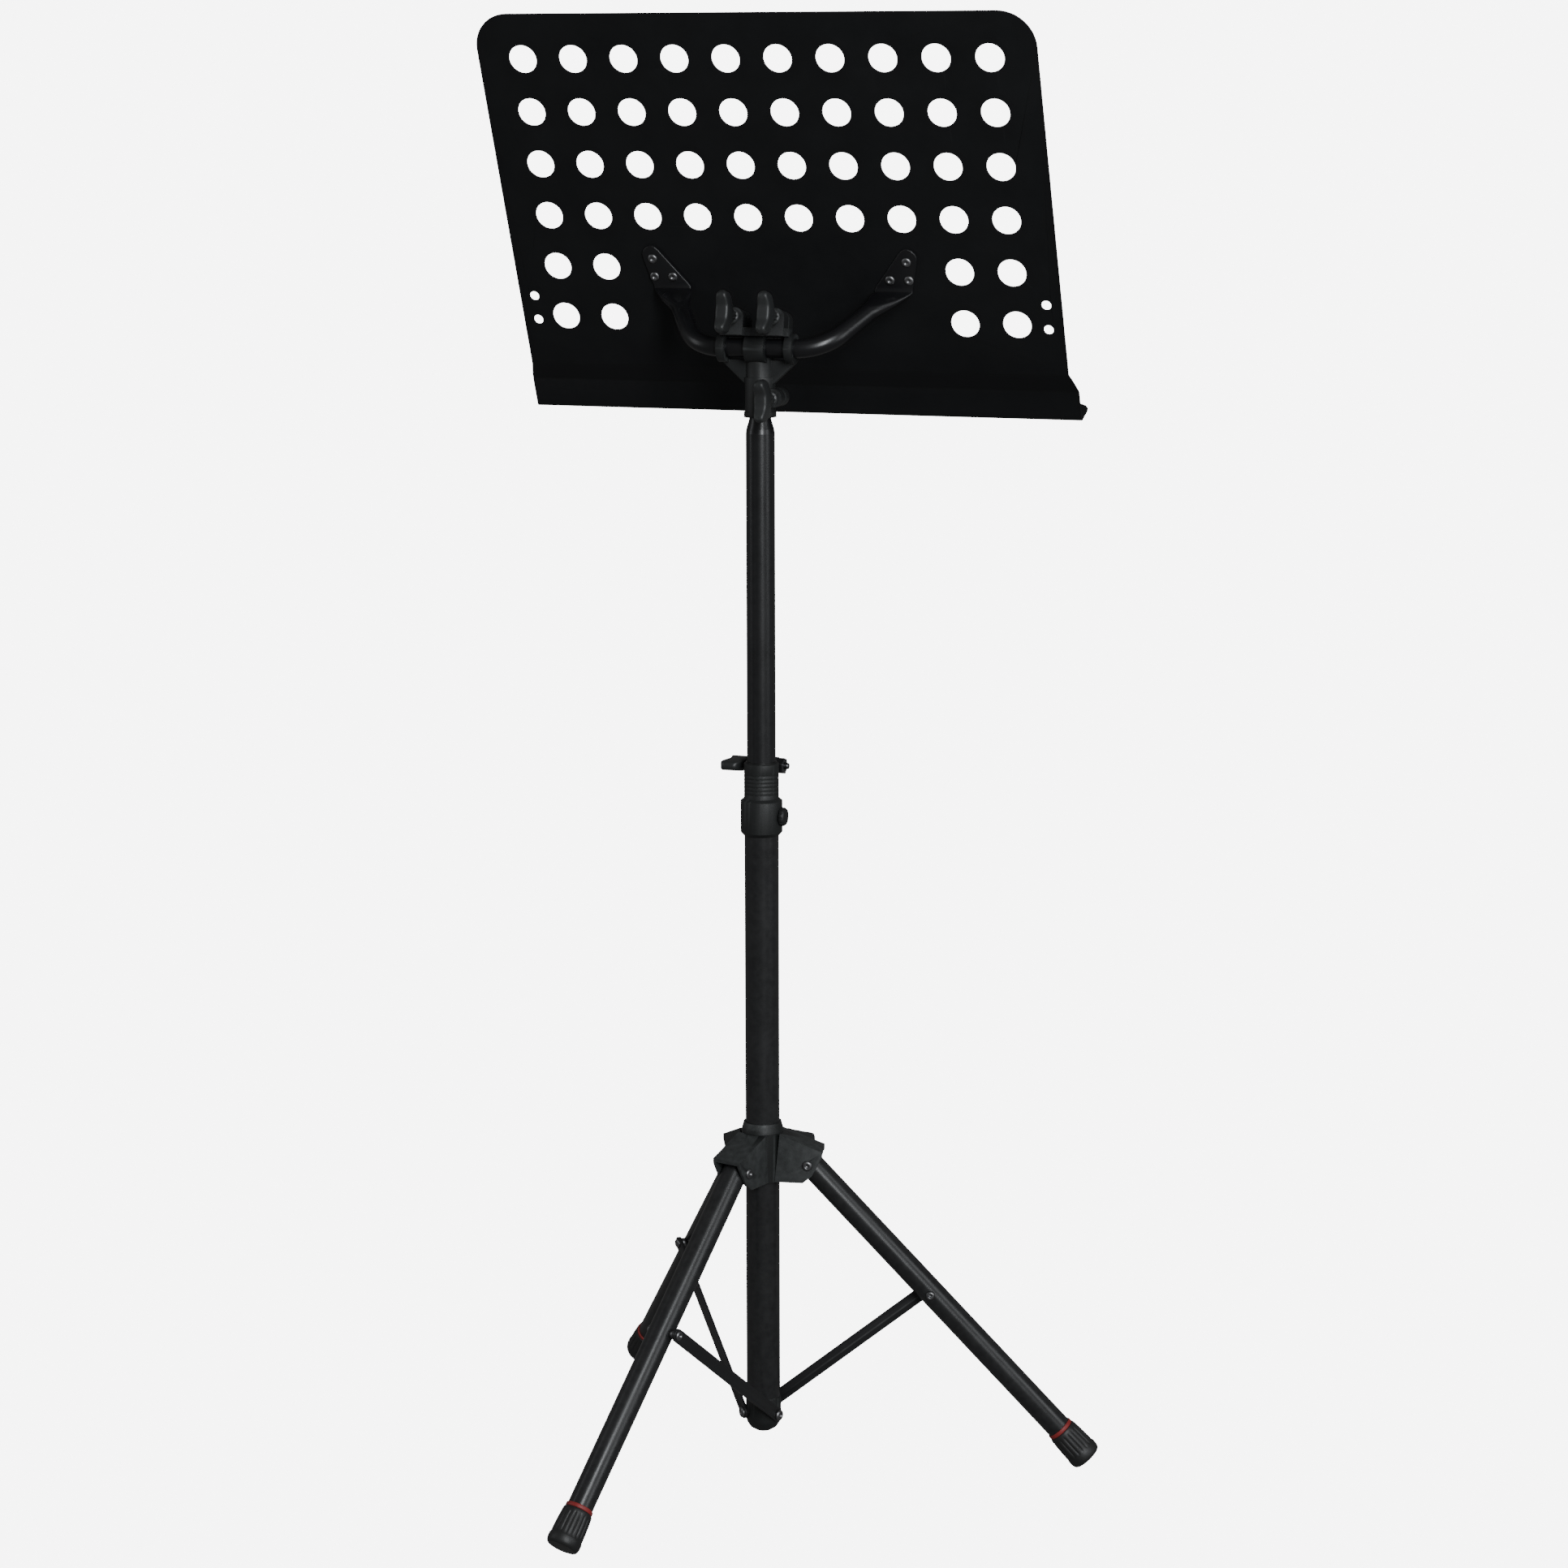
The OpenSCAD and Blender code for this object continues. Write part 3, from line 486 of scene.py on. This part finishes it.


# ---- Braces ----
# Flat steel bars, enamelled like the tubes, riveted to the plug at the foot of the mast and to
# the side of each leg, with a shoulder that spaces the bar off the tube.

# The paler edge amount and colour here paint a highlight on the bars' outward edges.
brace_enamel = surface("brace_enamel", (0.010, 0.010, 0.011), (0.016, 0.016, 0.017), (0.34, 0.46),
                       1000, 0.00005, highlight_amount=0.9, highlight_colour=(0.09, 0.09, 0.09))
rivet_down_leg = leg_length * 0.438
for k in (1, 2, 3):
    pivot, outward, sideways, down = leg_line(k)
    made(cad_copy(f"strut_{k}"), f"brace_bar_{k}", f"brace_{k}", brace_enamel,
         [f"strut_{k}"], round_off=0.45 * mm, steps=3)

    cap_seat = Vector(joints[f"brace_{k}_fold"]["pos_m"])
    bar_inner = cap_seat.dot(sideways)
    on_leg = pivot + down * rivet_down_leg
    bm = bmesh.new()
    hollow_rivet(bm, aimed(on_leg + sideways * (bar_inner + strut_thick), sideways),
                 4.4 * mm, 2 * mm, pin_radius, strut_thick)
    spacer = bar_inner - leg_radius - 0.4 * mm
    turned(bm, [(0, 0), (3.9 * mm, 0), (4.2 * mm, 0.3 * mm), (4.2 * mm, spacer - 0.3 * mm),
                (3.9 * mm, spacer), (0, spacer)],
           aimed(on_leg + sideways * (leg_radius + 0.4 * mm), sideways), steps=28)
    made(bm, f"brace_rivet_{k}", f"brace_{k}", rivet_steel, [f"strut_rivet_{k}"])

    bm = bmesh.new()
    hollow_rivet(bm, aimed(on_leg - sideways * (leg_radius - 0.3 * mm), -sideways),
                 4.2 * mm, 2.6 * mm, pin_radius, 1.2 * mm)
    made(bm, f"leg_rivet_head_{k}", f"leg_{k}", rivet_steel, [f"leg_rivet_{k}"])


# ---- Height collar ----
# A ribbed nylon sleeve on a wider collar, split down the back. A wing screw through its two ears
# pinches it on the upper tube; a hexagon nut sits in the far ear, a round cap screw on the side.

made(cad_copy("height_collar"), "collar_sleeve", "mast", moulded_nylon, ["height_collar"],
     round_off=0.35 * mm)
acetal = surface("black_acetal", (0.008, 0.008, 0.008), (0.013, 0.013, 0.013), (0.32, 0.42),
                 1600, 0.00003)
coat("collar_bush", acetal)
made(cad_copy("collar_screw"), "collar_cap_screw", "mast", moulded_nylon, ["collar_screw"],
     round_off=0.4 * mm)
made(cad_copy("height_nut"), "pinch_nut", "mast", zinc, ["height_nut"], round_off=0.5 * mm)

pinch = joints["height_knob_turn"]
pinch_axis = Vector(pinch["axis"])
pinch_point = Vector(pinch["pos_m"])
pinch_point.x = 0
knob_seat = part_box("height_knob")[0][0]
wing_knob("height_wing", "height_clamp", "height_knob",
          aimed(pinch_point + pinch_axis * knob_seat, pinch_axis)
          @ Matrix.Rotation(math.radians(90), 4, "Z"))
bm = bmesh.new()
screw_low, screw_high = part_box("height_screw")
threaded_rod(bm, aimed(pinch_point + pinch_axis * screw_high[0], -pinch_axis),
             screw_high[0] - screw_low[0])
made(bm, "pinch_screw", "height_clamp", zinc, ["height_screw"])


# ---- Upper mast ----
# The sliding tube, drawn down at the top to a spigot that the head turns on, with a black guide
# plug inside the lower tube.

coat("upper_tube", tube_enamel)
coat("tube_guide", acetal)


# ---- Head ----
# A nylon casting turns on the spigot, split down one side and pinched by a wing screw beside the
# neck. Two end hooks and a middle barrel hold the yoke's tube, which two more wing screws grip
# between the casting's lugs and a separate front jaw.

made(cad_copy("head_casting"), "head_body", "head", moulded_nylon, ["head_casting"],
     round_off=0.7 * mm, steps=3)
made(cad_copy("tilt_jaw"), "clamp_jaw", "head", moulded_nylon, ["tilt_jaw"],
     round_off=0.7 * mm, steps=3)
for nut in ("tilt_nut_1", "tilt_nut_2", "neck_nut"):
    made(cad_copy(nut), "head_" + nut, "head", zinc, [nut], round_off=0.4 * mm)
slack_front = 37 * mm
for side in (1, 2):
    clamp = joints[f"tilt_knob_{side}_turn"]
    clamp_axis = Vector(clamp["axis"])
    clamp_place = Vector(clamp["pos_m"])
    wing_knob(f"tilt_wing_{side}", f"tilt_clamp_{side}", f"tilt_knob_{side}", aimed(clamp_place, clamp_axis))
    bm = bmesh.new()
    threaded_rod(bm, aimed(clamp_place - clamp_axis * slack_front, clamp_axis), slack_front + 19 * mm)
    made(bm, f"tilt_stem_{side}", f"tilt_clamp_{side}", zinc, [f"tilt_screw_{side}"])

neck_axis = Vector(joints["neck_knob_turn"]["axis"])
neck_seat = Vector(joints["neck_knob_turn"]["pos_m"])
neck_seat.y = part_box("neck_knob")[0][1]
wing_knob("neck_wing", "neck_clamp", "neck_knob", aimed(neck_seat, neck_axis))
bm = bmesh.new()
screw_low, screw_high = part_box("neck_screw")
threaded_rod(bm, aimed((neck_seat.x, screw_low[1], neck_seat.z), neck_axis), screw_high[1] - screw_low[1])
made(bm, "neck_screw_stem", "neck_clamp", zinc, ["neck_screw"])


# ---- Yoke ----
# One steel tube bent to a wide V. Each end is pressed flat, turned up against the desk and
# riveted to it through the flattened ear.

desk_lean = math.radians(22)
tilt_axis = Vector(joints["desk_tilt"]["pos_m"])
desk_place = Matrix.Translation(tilt_axis) @ Matrix.Rotation(-desk_lean, 4, "X")
panel_back = -78.1 * mm
sheet = 1.5 * mm
tube_half = 8 * mm
ear_half = 1.2 * mm
ear_foot = 17.4 * mm
ear_middle = 101 * mm
rise = math.atan2(ear_foot, -panel_back)
bend_start = 33 * mm
bend_radius = 42 * mm
bend = math.radians(62)
reach = math.hypot(panel_back, ear_foot)
leg_run = (reach - bend_radius * (1 - math.cos(bend))) / math.sin(bend)
round_run = leg_run - 34 * mm


def yoke_rings():
    # Stations down one arm: where the section is, which way its width runs, its half width and
    # half thickness, and the direction square to it.
    tip = Matrix.Rotation(-rise, 4, "X")
    flat_normal = tip @ Vector((0, 0, 1))
    bend_centre = Vector((bend_start, -bend_radius, 0))
    bend_end = bend_centre + Vector((math.sin(bend), math.cos(bend), 0)) * bend_radius
    along = Vector((math.cos(bend), -math.sin(bend), 0))
    across = Vector((math.sin(bend), math.cos(bend), 0))
    rings = [(tip @ Vector((0, 0, 0)), tip @ Vector((0, 1, 0)), flat_normal, tube_half, tube_half)]
    for step in range(0, 13):
        angle = bend * step / 12
        out = Vector((math.sin(angle), math.cos(angle), 0))
        rings.append((tip @ (bend_centre + out * bend_radius), tip @ out, flat_normal, tube_half, tube_half))
    start = bend_end + along * round_run
    rings.append((tip @ start, tip @ across, flat_normal, tube_half, tube_half))
    landing = Vector((ear_middle, panel_back + ear_half * 2.2, ear_foot))
    sideways = Vector((1, 0, 0))
    for step in range(1, 11):
        part = step / 10
        ease = part * part * (3 - 2 * part)
        middle = (tip @ start).lerp(landing, part)
        width = (tip @ across).lerp(sideways, ease).normalized()
        half_width = tube_half + (17 * mm - tube_half) * ease
        half_thick = tube_half + (ear_half - tube_half) * min(1.0, part * 1.12) ** 0.8
        rings.append((middle, width, flat_normal, half_width, half_thick))
    outline = [(0.8, 84.1, 117.9), (2.6, 84, 118.2), (6, 86, 119.1), (12, 90.6, 120.6),
               (20, 96.6, 122.6), (28, 102.7, 124.4), (33, 106.5, 125), (36.5, 109, 123.6),
               (39, 111.5, 121), (40.2, 114, 118)]
    for height, inner, outer in outline:
        turn = min(1.0, height / 2.6)
        normal = flat_normal.lerp(Vector((0, 1, 0)), turn).normalized()
        depth = panel_back + ear_half + ear_half * 1.2 * (1 - turn)
        middle = Vector(((inner + outer) / 2 * mm, depth, ear_foot + height * mm))
        rings.append((middle, sideways, normal, (outer - inner) / 2 * mm, ear_half))
    return rings


bm = bmesh.new()
segments = 28
last = None
for middle, width, normal, half_width, half_thick in yoke_rings():
    ring = bmesh.ops.create_circle(bm, cap_ends=False, segments=segments, radius=1)["verts"]
    for vert in ring:
        # A flattened tube keeps round sides of its own thickness.
        side = math.copysign(half_width - half_thick, vert.co.x) if abs(vert.co.x) > 0.001 else 0.0
        flat = vert.co.x * half_thick + side
        vert.co = middle + width * flat + normal * (vert.co.y * half_thick)
    edges = list({edge for vert in ring for edge in vert.link_edges})
    if last:
        bmesh.ops.bridge_loops(bm, edges=last + edges)
    last = edges
bmesh.ops.holes_fill(bm, edges=last, sides=0)
half = bm.verts[:] + bm.edges[:] + bm.faces[:]
bmesh.ops.mirror(bm, geom=half, axis="X", merge_dist=0.00001)
bmesh.ops.remove_doubles(bm, verts=bm.verts, dist=0.000005)
bmesh.ops.recalc_face_normals(bm, faces=bm.faces)
bmesh.ops.transform(bm, matrix=desk_place, verts=bm.verts)
made(bm, "yoke_tube", "desk", tube_enamel, ["desk_yoke"], round_off=0.2 * mm)


# ---- Desk ----
# One steel sheet, punched with ten columns of round holes and folded along the bottom into a
# jogged strip and a lip that holds the music, powder coated matt black.

# The paler edge amount and colour here paint a highlight on the sheet's edges and hole rims.
desk_paint = surface("desk_powder_coat", (0.0036, 0.0038, 0.0044), (0.0056, 0.0058, 0.0066), (0.52, 0.64),
                     1500, 0.00006, highlight_amount=0.4, highlight_colour=(0.02, 0.02, 0.022), gloss=0.3)
desk_half = 248 * mm
desk_top = 269.6 * mm
corner = 32 * mm
fold = -57.6 * mm
hole_radius = 12.5 * mm
hole_pitch = 46 * mm
row_pitch = 48.1 * mm
first_row = desk_top - 40.7 * mm
small_hole_radius = 4.3 * mm


def ring_at(bm, x, z, radius, segments):
    ring = bmesh.ops.create_circle(bm, cap_ends=False, segments=segments, radius=radius)["verts"]
    bmesh.ops.rotate(bm, verts=ring, cent=(0, 0, 0), matrix=Matrix.Rotation(math.pi / 2, 3, "X"))
    bmesh.ops.translate(bm, verts=ring, vec=(x, 0, z))


bm = bmesh.new()
outline = [(-desk_half, fold)]
for centre, start in ((-desk_half + corner, 180), (desk_half - corner, 90)):
    for step in range(0, 13):
        angle = math.radians(start - 90 * step / 12)
        outline.append((centre + corner * math.cos(angle), desk_top - corner + corner * math.sin(angle)))
outline.append((desk_half, fold))
edge_verts = [bm.verts.new((x, 0, z)) for x, z in outline]
for first, second in zip(edge_verts, edge_verts[1:] + edge_verts[:1]):
    bm.edges.new((first, second))
for row in range(6):
    for column in range(10):
        if row < 4 or column < 2 or column > 7:
            ring_at(bm, (column - 4.5) * hole_pitch, first_row - row * row_pitch, hole_radius, 56)
for side in (-1, 1):
    for height in (7.2 * mm, -15.6 * mm):
        ring_at(bm, side * (desk_half - 13.7 * mm), height, small_hole_radius, 28)
bmesh.ops.triangle_fill(bm, edges=bm.edges[:], use_beauty=True, normal=(0, 1, 0))

# The strip below the fold: each line of the section across the desk, with its half width.
strip = [(0.6, 2.2, 0.3), (2.4, 6, 1.6), (5.6, 15, 4.2), (7.4, 18.8, 5), (8, 21, 5.5), (8, 44.8, 5.5),
         (8.4, 46.8, 5.5), (9.3, 48, 5.5), (10.6, 48.6, 5.5), (29, 48.8, 5.5), (33, 48.8, 4.6),
         (36.8, 48.8, 2.2), (39.4, 48.8, -1.4), (40.8, 48.8, -6)]
line = [edge for edge in bm.edges if all(abs(v.co.z - fold) < 0.00001 for v in edge.verts)]
for back, drop, flare in strip:
    grown = bmesh.ops.extrude_edge_only(bm, edges=line)["geom"]
    ends = [part for part in grown if isinstance(part, bmesh.types.BMVert)]
    line = [part for part in grown if isinstance(part, bmesh.types.BMEdge)
            and all(v in ends for v in part.verts)]
    for vert in ends:
        vert.co = Vector((math.copysign(desk_half + flare * mm, vert.co.x), -back * mm, fold - drop * mm))
bmesh.ops.recalc_face_normals(bm, faces=bm.faces)
if sum(face.normal.y * face.calc_area() for face in bm.faces) < 0:
    bmesh.ops.reverse_faces(bm, faces=bm.faces)
bmesh.ops.translate(bm, verts=bm.verts, vec=(0, panel_back, 0))
bmesh.ops.transform(bm, matrix=desk_place, verts=bm.verts)
mesh = bpy.data.meshes.new("desk_sheet")
bm.to_mesh(mesh)
bm.free()
for face in mesh.polygons:
    face.use_smooth = True
desk = bpy.data.objects.new("desk_sheet", mesh)
desk.data.materials.append(desk_paint)
bpy.context.scene.collection.objects.link(desk)
gauge = desk.modifiers.new("gauge", "SOLIDIFY")
gauge.thickness = sheet
gauge.offset = -1
gauge.use_even_offset = True
rounding = desk.modifiers.new("rounding", "BEVEL")
rounding.width = 0.35 * mm
rounding.segments = 2
rounding.limit_method = "ANGLE"
rounding.angle_limit = math.radians(50)
rounding.harden_normals = True
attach(desk, "desk")
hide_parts("desk_panel")

bm = bmesh.new()
for side in (-1, 1):
    for x, z in ((115.5, 46.2), (99, 29.3), (116, 29.3)):
        back_face = Matrix.Translation((side * x * mm, panel_back + 2 * ear_half, z * mm))
        front_face = Matrix.Translation((side * x * mm, panel_back - sheet, z * mm))
        hollow_rivet(bm, desk_place @ back_face @ Matrix.Rotation(-math.pi / 2, 4, "X"),
                     4.3 * mm, 1.6 * mm, pin_radius, 2 * mm)
        turned(bm, [(0, 1.35 * mm), (1.8 * mm, 1.4 * mm), (3.3 * mm, 1.1 * mm), (4.1 * mm, 0.6 * mm),
                    (4.3 * mm, 0.1 * mm), (4.2 * mm, 0), (0, 0)],
               desk_place @ front_face @ Matrix.Rotation(math.pi / 2, 4, "X"), steps=28)
made(bm, "yoke_rivet_heads", "desk", rivet_steel, ["yoke_rivets"])
